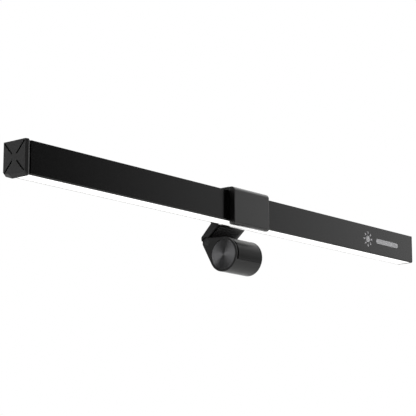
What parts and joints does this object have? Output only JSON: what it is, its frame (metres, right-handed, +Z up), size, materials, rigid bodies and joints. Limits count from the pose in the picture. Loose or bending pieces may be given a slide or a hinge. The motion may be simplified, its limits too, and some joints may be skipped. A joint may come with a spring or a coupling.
{
  "type": "clip-on picture light bar",
  "caption": "Rectangular LED light bar with a centre sleeve, carried on a friction tilt hinge by a sprung, weighted clip that grips the edge of a thin panel.",
  "frame": {"origin": "centre of the rubber pad's face on the clip's fixed jaw, where the held panel bears", "axes": "+X along the bar, -Y towards the front face, +Z up as the bar stands when it is level; the pad faces down and forward"},
  "size_m": [0.45, 0.0362, 0.0613],
  "materials": {
    "anodised_black": "matte black anodised",
    "cap_plastic": "fine satin texture",
    "opal": "opal, light-diffusing",
    "white_board": "white solder mask",
    "led": "phosphor face",
    "white_liner": "white",
    "green_board": "green solder mask",
    "component": "moulded",
    "socket_steel": "drawn steel",
    "plated_steel": "zinc plated",
    "dark_steel": "black oxide",
    "spring_steel": "drawn wire",
    "sleeve_plastic": "fine satin texture",
    "gloss_panel": "gloss black",
    "painted_casting": "satin black paint",
    "pad_rubber": "ribbed rubber",
    "arm_shell": "satin black paint",
    "weight_steel": "turned steel",
    "grip_rubber": "smooth satin rubber",
    "brushed_disc": "radially brushed, dark anodised"
  },
  "bodies": {
    "clip": {"jaw_bracket": "painted_casting", "jaw_pad": "pad_rubber", "tilt_washers": "plated_steel", "tilt_pin": "dark_steel", "tilt_nut": "dark_steel", "arm_pin": "dark_steel", "arm_pin_clip": "dark_steel", "torsion_spring": "spring_steel"},
    "lamp": {"bar_housing": "anodised_black", "end_cap_left": "cap_plastic", "end_cap_right": "cap_plastic", "diffuser": "opal", "led_board": "white_board", "leds": "led", "reflector": "white_liner", "driver_board": "green_board", "driver_parts": "component", "usb_socket": "socket_steel", "nut_plate": "plated_steel", "saddle": "sleeve_plastic", "saddle_screws": "dark_steel", "fascia": "sleeve_plastic", "touch_panel": "gloss_panel", "touch_board": "green_board"},
    "arm": {"arm_cradle": "arm_shell", "weight_core": "weight_steel", "grip_shell": "grip_rubber", "end_disc_left": "brushed_disc", "end_disc_right": "brushed_disc"}
  },
  "joints": [
    {"name": "tilt", "type": "hinge", "parent": "clip", "child": "lamp", "pos_m": [0, 0.0073, 0.0132], "axis": [-1, 0, 0], "range_deg": [0, 100]},
    {"name": "arm_swing", "type": "hinge", "parent": "clip", "child": "arm", "pos_m": [0, 0.0073, -0.0077], "axis": [1, 0, 0], "range_deg": [0, 58], "stiffness_Nm_per_rad": 0.03, "springref_deg": -68.75}
  ]
}
